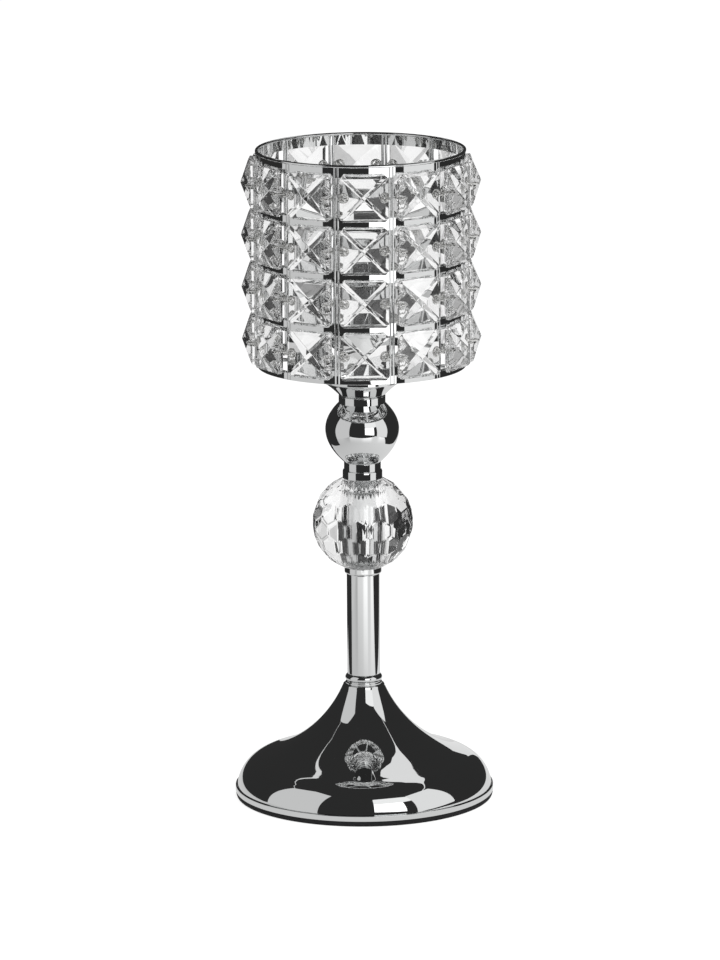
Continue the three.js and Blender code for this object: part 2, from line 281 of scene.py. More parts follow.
def turnShell(bm, start, steps, sides):
    # spins an outline round the stem's axis and joins it to the piece
    # an outline that starts off the axis is closed first
    shell = bmesh.new()
    first, last = drawOutline(shell, start, steps)
    if start[0] > 0:
        bmesh.ops.contextual_create(shell, geom=[first, last])
    bmesh.ops.spin(
        shell, geom=shell.verts[:] + shell.edges[:], cent=(0, 0, 0), axis=(0, 0, 1), angle=math.tau,
        steps=sides, use_merge=True,
    )
    turned = toMesh("turnedShell", shell)
    bm.from_mesh(turned)
    bpy.data.meshes.remove(turned)


def finishShape(bm, sharpAngle=math.radians(32)):
    bmesh.ops.remove_doubles(bm, verts=bm.verts, dist=mergeReach)
    bmesh.ops.recalc_face_normals(bm, faces=bm.faces)
    for face in bm.faces:
        face.smooth = True
    for edge in bm.edges:
        edge.smooth = edge.calc_face_angle(0) < sharpAngle


def linkedEdges(verts):
    return list({edge for vert in verts for edge in vert.link_edges})


def levelEdges(verts):
    return [e for e in linkedEdges(verts) if abs(e.verts[0].co.z - e.verts[1].co.z) < mm]


def bevelEdges(bm, edges, width, segments, clamp=False):
    bmesh.ops.bevel(
        bm, geom=edges, offset=width, affect="EDGES", segments=segments, profile=0.5, material=-1,
        clamp_overlap=clamp,
    )


def addPiece(name, mesh, body, slotName, nodes, *finishes):
    for finish in finishes:
        mesh.materials.append(finish)
    piece = bpy.data.objects.new(name, mesh)
    bpy.context.scene.collection.objects.link(piece)
    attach(piece, body)
    if nodes:
        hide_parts(*nodes)


def toMesh(name, bm):
    mesh = bpy.data.meshes.new(name)
    bm.to_mesh(mesh)
    bm.free()
    return mesh


def turnedPiece(name, node, body, slotName, finish, start, steps, sides=128):
    bm = bmesh.new()
    turnShell(bm, start, steps, sides)
    finishShape(bm)
    addPiece(name, toMesh(name, bm), body, slotName, [node], finish)


def nodeSize(node):
    low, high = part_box(node)
    return high.x, low.z, high.z  # outer radius, foot and top


boltHole = 4.3 * mm  # clearance hole for the bolt, through every piece of the stand


# Base: a spun bell with a rounded lip, convex shoulder and concave flare

def makeBase():
    base = {
        "lip": 2.2 * mm, "lipEdge": 0.25 * mm, "crease": 0.2 * mm, "lipStep": 0.7 * mm, "shoulder": 13.9 * mm,
        "lean": math.radians(7), "flare": 49 * mm, "neck": 8 * mm, "neckRound": 0.4 * mm, "land": 8 * mm,
        "wall": 1.6 * mm, "sides": 192,
    }
    radius, foot, top = nodeSize("base_shell")
    domeRadius = radius - base["lipStep"]
    domeFoot = foot + base["lip"]
    lipEdge = base["lipEdge"]
    lean = base["lean"]
    shoulder = Vector((domeRadius, domeFoot)) - Vector((math.cos(lean), math.sin(lean))) * base["shoulder"]
    neckEdge = Vector((base["neck"], top - base["neckRound"]))
    # the flare's arc touches the shoulder's arc and ends at the neck
    span = (neckEdge - shoulder).length
    reach = base["shoulder"] + base["flare"]
    along = (reach ** 2 - base["flare"] ** 2 + span ** 2) / (2 * span)
    across = math.sqrt(reach ** 2 - along ** 2)
    way = (neckEdge - shoulder) / span
    flare = shoulder + way * along + Vector((way.y, -way.x)) * across
    bend = math.degrees(math.atan2(flare.y - shoulder.y, flare.x - shoulder.x))
    neckAngle = math.degrees(math.atan2(neckEdge.y - flare.y, neckEdge.x - flare.x)) % 360
    landFoot = top - base["land"]
    inside = base["flare"] + base["wall"]
    landAngle = 180 + math.degrees(math.asin((flare.y - landFoot) / inside))
    landRadius = flare.x + inside * math.cos(math.radians(landAngle))
    domeStart = lean + base["crease"] / base["shoulder"]
    domeEdge = shoulder + Vector((math.cos(domeStart), math.sin(domeStart))) * base["shoulder"]
    steps = [
        ("line", radius - lipEdge, foot),
        ("arc", radius - lipEdge, foot + lipEdge, 90, 5),
        ("line", radius, domeFoot - lipEdge),
        ("arc", radius - lipEdge, domeFoot - lipEdge, 90, 5),
        ("line", domeEdge.x - base["crease"], domeFoot),
        ("line", domeEdge.x, domeEdge.y),
        ("arc", shoulder.x, shoulder.y, bend - math.degrees(domeStart), 48),
        ("arc", flare.x, flare.y, neckAngle - bend - 180, 56),
        ("arc", base["neck"] - base["neckRound"], top - base["neckRound"], 90, 5),
        ("line", boltHole, top),
        ("line", boltHole, landFoot),
        ("line", landRadius, landFoot),
        ("arc", flare.x, flare.y, bend + 180 - landAngle, 24),
        ("arc", shoulder.x, shoulder.y, math.degrees(lean) - bend, 16),
    ]
    turnedPiece(
        "baseBell", "base_shell", "stand", "chrome_plate", chrome,
        (domeRadius - base["wall"], foot), steps, base["sides"],
    )


def makePad():
    pad = {"round": 0.45 * mm, "bulge": 0.15 * mm, "sides": 128}
    radius, foot, top = nodeSize("base_pad")
    side = radius - pad["bulge"]
    steps = [
        ("line", side - pad["round"], foot),
        ("arc", side - pad["round"], foot + pad["round"], 90, 6),
        ("curve", radius + pad["bulge"], (foot + top) / 2, side, top - pad["round"]),
        ("arc", side - pad["round"], top - pad["round"], 90, 6),
        ("line", 0, top),
    ]
    turnedPiece("footPad", "base_pad", "stand", "black_foam", foam, (0, foot), steps, pad["sides"])


makePad()
makeBase()
print("base and pad made")


# Stem: beaded foot collar, tube, and the collar under the ball with the mirror sleeve

def makeFootCollar():
    collar = {
        "flange": 0.8 * mm, "groove": 0.4 * mm, "grooveDepth": 0.5 * mm, "edge": 0.2 * mm, "stem": 6.35 * mm,
    }
    radius, foot, top = nodeSize("foot_collar")
    grooveFoot = foot + collar["flange"]
    beadFoot = grooveFoot + collar["groove"]
    grooveRadius = radius - collar["grooveDepth"]
    middle = (beadFoot + top) / 2
    bulge = 2 * (radius - collar["stem"])
    steps = [
        ("line", radius - collar["edge"], foot),
        ("arc", radius - collar["edge"], foot + collar["edge"], 90, 4),
        ("line", radius, grooveFoot - collar["edge"]),
        ("arc", radius - collar["edge"], grooveFoot - collar["edge"], 90, 4),
        ("line", grooveRadius, grooveFoot),
        ("line", grooveRadius, beadFoot),
        ("curve", collar["stem"] + bulge, middle, collar["stem"], top),
        ("line", boltHole, top),
    ]
    turnedPiece("footCollar", "foot_collar", "stand", "chrome_plate", chrome, (boltHole, foot), steps)


def makeStem():
    stem = {"wall": 1 * mm, "edge": 0.25 * mm}
    radius, foot, top = nodeSize("stem_tube")
    edge = stem["edge"]
    steps = [
        ("line", radius - edge, foot),
        ("arc", radius - edge, foot + edge, 90, 4),
        ("line", radius, top - edge),
        ("arc", radius - edge, top - edge, 90, 4),
        ("line", radius - stem["wall"], top),
    ]
    turnedPiece(
        "stemTube", "stem_tube", "stand", "chrome_plate", chrome, (radius - stem["wall"], foot), steps,
    )


def makeSpindle():
    spindle = {"round": 0.8 * mm, "collar": 2.7 * mm, "edge": 0.2 * mm, "sleeve": 6.1 * mm}
    radius, foot, top = nodeSize("ball_spindle")
    shelf = foot + spindle["collar"]
    steps = [
        ("line", radius - spindle["round"], foot),
        ("arc", radius - spindle["round"], foot + spindle["round"], 90, 8),
        ("line", radius, shelf - spindle["edge"]),
        ("arc", radius - spindle["edge"], shelf - spindle["edge"], 90, 4),
        ("line", spindle["sleeve"], shelf),
        ("line", spindle["sleeve"], top),
        ("line", boltHole, top),
    ]
    turnedPiece("ballSpindle", "ball_spindle", "stand", "chrome_plate", chrome, (boltHole, foot), steps)


makeFootCollar()
makeStem()
makeSpindle()
print("stem made")


# Glass ball: a block ground by staggered rows of flats, then bored for the sleeve

def makeBall():
    ball = {
        "radius": 18.9 * mm, "perRow": 14, "rows": 7, "rowStep": math.radians(20), "turn": math.radians(7),
        "bore": 6.4 * mm, "boreSides": 64, "edge": 0.3 * mm, "snap": 0.0001 * mm,
    }
    low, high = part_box("crystal_ball")
    middle = (low + high) / 2
    bm = bmesh.new()
    bmesh.ops.create_cube(bm, size=4 * ball["radius"])
    flats = [(Vector((0, 0, side)), (high.z - low.z) / 2) for side in (-1, 1)]
    turn = math.tau / ball["perRow"]
    for row in range(ball["rows"]):
        fromMiddle = row - ball["rows"] // 2
        latitude = fromMiddle * ball["rowStep"]
        stagger = turn / 2 if fromMiddle % 2 == 0 else 0
        for facet in range(ball["perRow"]):
            azimuth = ball["turn"] + stagger + facet * turn
            outward = Vector((
                math.sin(azimuth) * math.cos(latitude),
                -math.cos(azimuth) * math.cos(latitude),
                math.sin(latitude),
            ))
            flats.append((outward, ball["radius"]))
    for outward, distance in flats:
        cut = bmesh.ops.bisect_plane(
            bm, geom=bm.verts[:] + bm.edges[:] + bm.faces[:], dist=ball["snap"],
            plane_co=outward * distance, plane_no=outward, clear_outer=True,
        )
        rim = [e for e in cut["geom_cut"] if isinstance(e, bmesh.types.BMEdge)]
        bmesh.ops.contextual_create(bm, geom=rim)
    bevelEdges(bm, bm.edges[:], ball["edge"], 1, clamp=True)
    # the two seats open into the bore
    bores = []
    for side in (-1, 1):
        seat = max(bm.faces, key=lambda face: side * face.calc_center_median().z)
        rim = seat.edges[:]
        bmesh.ops.delete(bm, geom=[seat], context="FACES_ONLY")
        ring = bmesh.ops.create_circle(
            bm, segments=ball["boreSides"], radius=ball["bore"],
            matrix=Matrix.Translation((0, 0, side * (high.z - low.z) / 2)),
        )["verts"]
        ringEdges = linkedEdges(ring)
        bmesh.ops.bridge_loops(bm, edges=rim + ringEdges)
        bores += ringEdges
    wall = bmesh.ops.bridge_loops(bm, edges=bores)["faces"]
    bmesh.ops.recalc_face_normals(bm, faces=bm.faces)
    for face in wall:
        face.smooth = True
    for edge in bores:
        edge.smooth = False
    bmesh.ops.translate(bm, verts=bm.verts, vec=middle)
    addPiece("crystalBall", toMesh("crystalBall", bm), "stand", "cut_glass", ["crystal_ball"], crystal)


makeBall()
print("glass ball made")


# Neck collar and knob

def makeNeckCollar():
    collar = {"height": 3.4 * mm, "step": 7.1 * mm, "round": 0.9 * mm, "edge": 0.25 * mm}
    radius, foot, top = nodeSize("neck_collar")
    shelf = foot + collar["height"]
    edge = collar["edge"]
    steps = [
        ("line", radius - edge, foot),
        ("arc", radius - edge, foot + edge, 90, 4),
        ("line", radius, shelf - collar["round"]),
        ("curve", radius, shelf, collar["step"], shelf),
        ("line", collar["step"], top - edge),
        ("arc", collar["step"] - edge, top - edge, 90, 4),
        ("line", boltHole, top),
    ]
    turnedPiece("neckCollar", "neck_collar", "stand", "chrome_plate", chrome, (boltHole, foot), steps)


def makeKnob():
    knob = {
        "foot": 7.1 * mm, "belt": 12.8 * mm, "neck": 9 * mm, "neckHeight": 2.9 * mm, "wall": 1.5 * mm,
        "edge": 0.3 * mm, "sides": 160,
    }
    radius, foot, top = nodeSize("knob")
    belt = foot + knob["belt"]
    neckFoot = top - knob["neckHeight"]
    wall = knob["wall"]
    steps = [
        ("line", knob["foot"], foot),
        ("curve", radius, (foot + belt) / 2, radius, belt),
        ("curve", radius, (belt + neckFoot) / 2, knob["neck"], neckFoot),
        ("line", knob["neck"], top - knob["edge"]),
        ("arc", knob["neck"] - knob["edge"], top - knob["edge"], 90, 4),
        ("line", boltHole, top),
        ("line", boltHole, top - wall),
        ("line", knob["neck"] - wall, top - wall),
        ("line", knob["neck"] - wall, neckFoot),
        ("line", radius - wall, belt),
        ("line", knob["foot"] - wall, foot + wall),
        ("line", boltHole, foot + wall),
    ]
    turnedPiece("stemKnob", "knob", "stand", "chrome_plate", chrome, (boltHole, foot), steps, knob["sides"])


makeNeckCollar()
makeKnob()
print("knob made")


# Tie bolt and nut: the M8 thread that the cup unscrews from

def addThread(bm, root, crest, foot, turns, pitch, parts=24):
    # one tooth, swept up the bolt as a screw
    tooth = [
        bmesh.ops.create_vert(bm, co=(radius, 0, foot + height))["vert"][0]
        for radius, height in ((root, 0), (crest, pitch / 2), (root, pitch))
    ]
    face = bmesh.ops.contextual_create(bm, geom=tooth)["faces"]
    bmesh.ops.spin(
        bm, geom=face, cent=(0, 0, 0), axis=(0, 0, 1), dvec=(0, 0, pitch / parts),
        angle=math.tau * turns, steps=parts * turns,
    )


def makeBolt():
    bolt = {
        "radius": 4 * mm, "core": 3.4 * mm, "headHeight": 5.3 * mm, "chamfer": 0.6 * mm, "pitch": 1.25 * mm,
        "turns": 10, "tip": 0.7 * mm, "sides": 48,
        "sunk": 0.1 * mm, "lead": 0.2,  # the thread's depth in the core, and its start in pitches
    }
    low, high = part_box("tie_bolt")
    headCorner, foot, top = high.y, low.z, high.z
    headTop = foot + bolt["headHeight"]
    threadFoot = top - bolt["tip"] - (bolt["turns"] + 1) * bolt["pitch"]
    bm = bmesh.new()
    head = bmesh.ops.create_cone(
        bm, cap_ends=True, segments=6, radius1=headCorner, radius2=headCorner, depth=bolt["headHeight"],
        matrix=Matrix.Translation((0, 0, (foot + headTop) / 2)),
    )["verts"]
    bevelEdges(bm, levelEdges(head), bolt["chamfer"], 2)
    shank = [
        ("line", bolt["radius"], headTop - bolt["chamfer"]),
        ("line", bolt["radius"], threadFoot),
        ("line", bolt["core"], threadFoot + bolt["pitch"] / 2),
        ("line", bolt["core"], top - bolt["tip"]),
        ("line", bolt["core"] - bolt["tip"], top),
        ("line", 0, top),
    ]
    turnShell(bm, (0, headTop - bolt["chamfer"]), shank, bolt["sides"])
    addThread(
        bm, bolt["core"] - bolt["sunk"], bolt["radius"], threadFoot + bolt["lead"] * bolt["pitch"],
        bolt["turns"], bolt["pitch"],
    )
    finishShape(bm)
    addPiece("tieBolt", toMesh("tieBolt", bm), "stand", "zinc_steel", ["tie_bolt"], zinc)


def makeNut():
    nut = {"edge": 0.4 * mm, "sides": 64}
    radius, foot, top = nodeSize("cup_nut")
    edge = nut["edge"]
    steps = [
        ("line", radius - edge, foot),
        ("line", radius, foot + edge),
        ("line", radius, top - edge),
        ("line", radius - edge, top),
        ("line", boltHole + edge, top),
        ("line", boltHole, top - edge),
        ("line", boltHole, foot + edge),
    ]
    turnedPiece(
        "cupNut", "cup_nut", "cup_nut", "zinc_steel", zinc, (boltHole + edge, foot), steps, nut["sides"],
    )


makeBolt()
makeNut()
print("bolt and nut made")


# Cup: flared foot and open floor, and the cage of hoops and paired rods

cup = {
    "columns": 12, "columnTurn": math.radians(1.6), "rows": 4, "hoopRadius": 40 * mm, "hoopThick": 0.8 * mm,
    "rodSpacing": 1.3 * mm, "rodRadius": 0.5 * mm, "beadHeight": 17.6 * mm, "rowGap": 2.53 * mm,
}
hoopMiddle = cup["hoopRadius"] - cup["hoopThick"] / 2
rodHalfTurn = math.asin(cup["rodSpacing"] / 2 / hoopMiddle)
columnStep = math.tau / cup["columns"]


def beadName(row, column):
    return f"bead_row{row + 1}_col{column + 1:02d}"


def ribTurn(rib):
    return cup["columnTurn"] + (rib + 0.5) * columnStep


def makeDish():
    dish = {
        "foot": 8.8 * mm, "bend": 12.8 * mm, "bendRise": 4.4 * mm, "drum": 16 * mm, "flareRise": 5.7 * mm,
        "wall": 1.2 * mm, "floor": 1.3 * mm, "edge": 0.3 * mm, "arm": 3 * mm, "armThick": 1.1 * mm,
        "armEvery": 2, "cageGap": 0.3 * mm, "sides": 160,
    }
    low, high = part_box("cup_dish")
    foot, top = low.z, high.z
    under = top - dish["floor"]
    bendHeight = foot + dish["bendRise"]
    drumFoot = foot + dish["flareRise"]
    wall = dish["wall"]
    edge = dish["edge"]
    drum = dish["drum"]
    flareStart = math.degrees(math.atan2(dish["bendRise"], dish["bend"] - dish["foot"]))
    steps = [
        ("line", drum - wall, under),
        ("line", drum - wall, drumFoot + wall),
        ("curve", dish["bend"] - wall, bendHeight + wall, dish["foot"] - wall, foot + wall),
        ("line", boltHole, foot + wall),
        ("line", boltHole, foot),
        ("line", dish["foot"] - edge, foot),
        ("arc", dish["foot"] - edge, foot + edge, flareStart, 4),
        ("curve", dish["bend"], bendHeight, drum - edge, drumFoot),
        ("arc", drum - edge, drumFoot + edge, 90, 4),
        ("line", drum, top - edge),
        ("arc", drum - edge, top - edge, 90, 4),
        ("line", 0, top),
    ]
    bm = bmesh.new()
    turnShell(bm, (0, under), steps, dish["sides"])
    # each arm starts inside the drum's rim and ends just inside the cage
    reach = hoopMiddle - cup["rodRadius"] - dish["cageGap"]
    armStart = drum - dish["arm"] / 2
    size = Matrix.Diagonal((dish["arm"], reach - armStart, dish["armThick"], 1))
    place = Matrix.Translation((0, -(reach + armStart) / 2, (under + top) / 2))
    for rib in range(0, cup["columns"], dish["armEvery"]):
        turn = Matrix.Rotation(ribTurn(rib), 4, "Z")
        arm = bmesh.ops.create_cube(bm, size=1, matrix=turn @ place @ size)["verts"]
        bevelEdges(bm, linkedEdges(arm), edge, 2)
    finishShape(bm)
    addPiece("cupDish", toMesh("cupDish", bm), "cup", "chrome_plate", ["cup_dish"], chrome)


def makeCage():
    cage = {
        "lap": 1.2 * mm, "roll": 0.6 * mm, "edge": 0.15 * mm, "sides": 180, "rodSides": 14,
        "rodEnd": 0.3 * mm,
    }
    low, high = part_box("cup_cage")
    inside = cup["hoopRadius"] - cup["hoopThick"]
    outside = cup["hoopRadius"]
    edge = cage["edge"]
    bands = [(low.z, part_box(beadName(cup["rows"] - 1, 0))[0].z + cage["lap"])]
    for row in range(1, cup["rows"]):
        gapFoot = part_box(beadName(row, 0))[1].z
        bands.append((gapFoot - cage["lap"], gapFoot + cup["rowGap"] + cage["lap"]))
    bm = bmesh.new()
    for foot, top in bands:
        steps = [
            ("line", outside - edge, foot),
            ("arc", outside - edge, foot + edge, 90, 3),
            ("line", outside, top - edge),
            ("arc", outside - edge, top - edge, 90, 3),
            ("line", inside + edge, top),
            ("arc", inside + edge, top - edge, 90, 3),
            ("line", inside, foot + edge),
        ]
        turnShell(bm, (inside + edge, foot), steps, cage["sides"])
    # the top hoop ends in a rolled edge
    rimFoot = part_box(beadName(0, 0))[1].z - cage["lap"]
    rollMiddle = high.z - cage["roll"]
    half = math.degrees(math.asin(cup["hoopThick"] / 2 / cage["roll"]))
    steps = [
        ("line", outside, rimFoot),
        ("line", outside, rollMiddle - cage["roll"] * math.cos(math.radians(half))),
        ("arc", hoopMiddle, rollMiddle, 360 - 2 * half, 20),
    ]
    turnShell(bm, (inside, rimFoot), steps, cage["sides"])
    for rib in range(cup["columns"]):
        for side in (-1, 1):
            azimuth = ribTurn(rib) + side * rodHalfTurn
            place = Vector((hoopMiddle * math.sin(azimuth), -hoopMiddle * math.cos(azimuth), 0))
            rod = bmesh.ops.create_cone(
                bm, cap_ends=True, segments=cage["rodSides"], radius1=cup["rodRadius"],
                radius2=cup["rodRadius"], depth=rollMiddle - low.z,
                matrix=Matrix.Translation(place + Vector((0, 0, (rollMiddle + low.z) / 2))),
            )["verts"]
            bevelEdges(bm, levelEdges(rod), cage["rodEnd"], 2)
    finishShape(bm)
    addPiece("cupCage", toMesh("cupCage", bm), "cup", "chrome_plate", ["cup_cage"], chrome)


makeDish()
makeCage()
print("cup's dish and cage made")


# Beads: square crystals, pointed on both faces, with a wire hole near each side

bead = {
    "sideGap": 0.42 * mm, "corner": 1.2 * mm, "back": 40.6 * mm, "girdle": 1.4 * mm, "backPoint": 2.2 * mm,
    "bevelWidth": 0.9 * mm, "bevelDepth": 0.6 * mm, "point": 3.2 * mm, "edge": 0.08 * mm,
    "hole": 0.8 * mm, "holeOffset": 7 * mm, "holeSides": 16, "drill": 20 * mm,
}
beadHalfWidth = hoopMiddle * math.sin(columnStep / 2 - rodHalfTurn) - bead["sideGap"]


def beadMesh():
    # modelled at the front of the cup, with its middle at height 0
    bm = bmesh.new()
    size = Matrix.Diagonal((2 * beadHalfWidth, bead["girdle"], cup["beadHeight"], 1))
    place = Matrix.Translation((0, -bead["back"] - bead["girdle"] / 2, 0))
    bmesh.ops.create_cube(bm, size=1, matrix=place @ size)
    corners = [e for e in bm.edges if abs(e.verts[0].co.y - e.verts[1].co.y) > mm]
    bevelEdges(bm, corners, bead["corner"], 1)
    front = min(bm.faces, key=lambda face: face.calc_center_median().y)
    back = max(bm.faces, key=lambda face: face.calc_center_median().y)
    bmesh.ops.inset_region(bm, faces=[front], thickness=bead["bevelWidth"], depth=bead["bevelDepth"])
    short = [e for e in front.edges if e.calc_length() < bead["corner"]]
    bmesh.ops.collapse(bm, edges=short)
    bmesh.ops.recalc_face_normals(bm, faces=bm.faces)
    bmesh.ops.poke(bm, faces=[front], offset=bead["point"])
    bmesh.ops.poke(bm, faces=[back], offset=bead["backPoint"])
    bevelEdges(bm, bm.edges[:], bead["edge"], 1, clamp=True)
    drills = bmesh.new()
    for side in (-1, 1):
        bmesh.ops.create_cone(
            drills, cap_ends=True, segments=bead["holeSides"], radius1=bead["hole"], radius2=bead["hole"],
            depth=bead["drill"],
            matrix=Matrix.Translation((side * bead["holeOffset"], -bead["back"], 0))
            @ Matrix.Rotation(math.radians(90), 4, "X"),
        )
    for face in drills.faces:
        face.material_index = 1
        face.smooth = len(face.verts) == 4
    blank = bpy.data.objects.new("beadBlank", toMesh("beadBlank", bm))
    drill = bpy.data.objects.new("beadDrill", toMesh("beadDrill", drills))
    for part in (blank, drill):
        part.data.materials.append(crystal)
        part.data.materials.append(drilled)
        bpy.context.scene.collection.objects.link(part)
    holes = blank.modifiers.new("holes", "BOOLEAN")
    holes.object = drill
    holes.solver = "EXACT"
    bpy.context.view_layer.update()
    drilledBead = blank.evaluated_get(bpy.context.evaluated_depsgraph_get())
    mesh = bpy.data.meshes.new_from_object(drilledBead)
    bpy.data.objects.remove(blank)
    bpy.data.objects.remove(drill)
    mesh.materials.clear()
    return mesh


# Tie wires: a ring and a twisted end behind each hole, and a hook over the bead's edge to the rods

tie = {
    "sides": 7, "sharp": math.radians(60),
    "hook": 0.55 * mm, "hookBend": 0.7 * mm, "hookFront": 43.5 * mm, "hookBack": 3.7 * mm,
    "edgeGap": 0.45 * mm,
    "ring": 0.9 * mm, "ringRadius": 1.6 * mm, "ringDepth": 39.1 * mm, "ringSteps": 22,
    "twist": 0.55 * mm, "twistRadius": 0.5 * mm, "twistTurns": 4, "twistSteps": 11, "twistPitch": 0.62 * mm,
    "twistDepth": 38.3 * mm, "twistLean": math.radians(45),
}


def wireStart(bm, thickness, place):
    ring = bmesh.ops.create_circle(
        bm, cap_ends=True, segments=tie["sides"], radius=thickness / 2, matrix=place,
    )["verts"]
    return list({face for vert in ring for face in vert.link_faces})


def bendWire(bm, end, centre, axis, degrees, parts):
    bent = bmesh.ops.spin(
        bm, geom=end, cent=centre, axis=axis, angle=math.radians(degrees), steps=parts,
    )
    return [item for item in bent["geom_last"] if isinstance(item, bmesh.types.BMFace)]


def runWire(bm, end, way):
    grown = bmesh.ops.extrude_face_region(bm, geom=end)["geom"]
    bmesh.ops.translate(bm, verts=[v for v in grown if isinstance(v, bmesh.types.BMVert)], vec=way)
    bmesh.ops.delete(bm, geom=end, context="FACES_ONLY")
    return [item for item in grown if isinstance(item, bmesh.types.BMFace)]


def tieMesh():
    bm = bmesh.new()
    hole = bead["holeOffset"]
    forward = Matrix.Rotation(math.radians(90), 4, "X")
    bend = tie["hookBend"]
    front = tie["hookFront"]
    overEdge = beadHalfWidth + tie["edgeGap"] - hole - 2 * bend
    # the hook starts inside the hole, turns over the edge and runs back to the rods
    end = wireStart(bm, tie["hook"], Matrix.Translation((hole, -tie["ringDepth"], 0)) @ forward)
    end = runWire(bm, end, (0, tie["ringDepth"] - front, 0))
    end = bendWire(bm, end, (hole + bend, -front, 0), (0, 0, 1), 90, 5)
    end = runWire(bm, end, (overEdge, 0, 0))
    end = bendWire(bm, end, (hole + bend + overEdge, -front, 0), (0, 0, 1), 90, 5)
    runWire(bm, end, (0, tie["hookBack"], 0))
    # ring behind the bead
    start = Matrix.Translation((hole + tie["ringRadius"], -tie["ringDepth"], 0))
    ring = bmesh.ops.create_circle(
        bm, segments=tie["sides"], radius=tie["ring"] / 2, matrix=start @ forward,
    )["verts"]
    bmesh.ops.rotate(
        bm, verts=ring, cent=start.translation, matrix=Matrix.Rotation(math.radians(90), 3, "X"),
    )
    loop = ring + linkedEdges(ring)
    bmesh.ops.spin(
        bm, geom=loop, cent=(hole, -tie["ringDepth"], 0), axis=(0, 1, 0), angle=math.tau,
        steps=tie["ringSteps"],
        use_merge=True,
    )
    # twisted end across the ring, as a short screw
    lean = Matrix.Translation((hole, -tie["twistDepth"], 0)) @ Matrix.Rotation(tie["twistLean"], 4, "Y")
    length = tie["twistTurns"] * tie["twistPitch"]
    begin = Matrix.Translation((tie["twistRadius"], 0, -length / 2)) @ forward
    end = wireStart(bm, tie["twist"], lean @ begin)
    axis = lean.to_3x3() @ Vector((0, 0, 1))
    parts = tie["twistSteps"] * tie["twistTurns"]
    bmesh.ops.spin(
        bm, geom=end, cent=lean.translation, axis=axis, dvec=axis * length / parts,
        angle=math.tau * tie["twistTurns"], steps=parts,
    )
    bmesh.ops.remove_doubles(bm, verts=bm.verts, dist=mergeReach)
    # the other side of the bead has the same wire, mirrored
    both = bmesh.ops.duplicate(bm, geom=bm.verts[:] + bm.edges[:] + bm.faces[:])["geom"]
    bmesh.ops.scale(bm, verts=[v for v in both if isinstance(v, bmesh.types.BMVert)], vec=(-1, 1, 1))
    finishShape(bm, tie["sharp"])
    return toMesh("beadTie", bm)


def makeBeads():
    glass = beadMesh()
    wires = tieMesh()
    for column in range(cup["columns"]):
        turn = Matrix.Rotation(cup["columnTurn"] + column * columnStep, 4, "Z")
        for row in range(cup["rows"]):
            node = beadName(row, column)
            low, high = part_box(node)
            place = Matrix.Translation((0, 0, (low.z + high.z) / 2)) @ turn
            label = f"{row + 1}_{column + 1:02d}"
            mesh = glass.copy()
            mesh.transform(place)
            addPiece(f"cutBead_{label}", mesh, "cup", "cut_glass", [node], crystal, drilled)
            mesh = wires.copy()
            mesh.transform(place)
            addPiece(f"beadTie_{label}", mesh, "cup", "chrome_plate", [], wireFinish)


makeBeads()
print("beads and tie wires made")


# Studio: white sweep, dark room, and cards that draw the bands in the chrome

studio = {
    "white": "#ffffff", "room": 0.03, "floorShare": 0.86, "softLevel": 0.55, "glassLevel": 0.02,
    "farFloor": 0.95, "tableInGlass": 1.35, "skyRadius": 0.7, "skyFoot": 0.02,
}


def newStage(name, bm, finish):
    mesh = toMesh(name, bm)
    mesh.materials.append(finish)
    thing = bpy.data.objects.new(name, mesh)
    bpy.context.scene.collection.objects.link(thing)
    return thing


def glowFinish(name, level):
    finish, tree = newFinish(name)
    glow = addNode(tree, "ShaderNodeEmission", {"Color": linear(studio["white"]), "Strength": level})
    endFinish(tree, glow.outputs["Emission"])
    return finish


def hangCard(name, bm, finish, inMetal=True, inGlass=True):
    # a card shows in what metal mirrors, in what is seen through glass, or in both
    card = newStage(name, bm, finish)
    card.visible_camera = False
    card.visible_diffuse = False
    card.visible_shadow = False
    card.visible_glossy = inMetal
    card.visible_transmission = inGlass


def makeCard(name, foot, top, level, inMetal=True, inGlass=True):
    # a card through the foot points and the top points
    bm = bmesh.new()
    last = bmesh.ops.create_vert(bm, co=foot[0])["vert"][0]
    chain = [last]
    for point in foot[1:]:
        last = bmesh.ops.extrude_vert_indiv(bm, verts=[last])["verts"][0]
        last.co = point
        chain.append(last)
    for vert, point in zip(chain, top):
        raised = bmesh.ops.extrude_vert_indiv(bm, verts=[vert])["verts"][0]
        raised.co = point
    bm.verts.ensure_lookup_table()
    count = len(foot)
    for i in range(count - 1):
        corners = [bm.verts[i], bm.verts[i + 1], bm.verts[count + i + 1], bm.verts[count + i]]
        bmesh.ops.contextual_create(bm, geom=corners)
    hangCard(name, bm, glowFinish(name + "Glow", level), inMetal, inGlass)


def makePanel(name, foot, tops, level, inMetal=True, inGlass=True):
    # an upright card: its foot points, and the height of the top above each of them
    top = [(*point[:2], height) for point, height in zip(foot, tops)]
    makeCard(name, foot, top, level, inMetal, inGlass)


def makeFlatCard(name, left, right, front, back, height, level, inMetal=True, inGlass=True):
    foot, top = ([(left, y, height), (right, y, height)] for y in (front, back))
    makeCard(name, foot, top, level, inMetal, inGlass)


def skyPoint(bearing, elevation):
    # a point seen from the base: bearing from the front, positive to the right
    b = math.radians(bearing)
    e = math.radians(elevation)
    way = Vector((math.sin(b) * math.cos(e), -math.cos(b) * math.cos(e), math.sin(e)))
    return way * studio["skyRadius"] + Vector((0, 0, studio["skyFoot"]))


def makeSkyCard(name, outline, level, inMetal=True, inGlass=True):
    makeCard(
        name, [skyPoint(b, lower) for b, lower, upper in outline],
        [skyPoint(b, upper) for b, lower, upper in outline], level, inMetal, inGlass,
    )


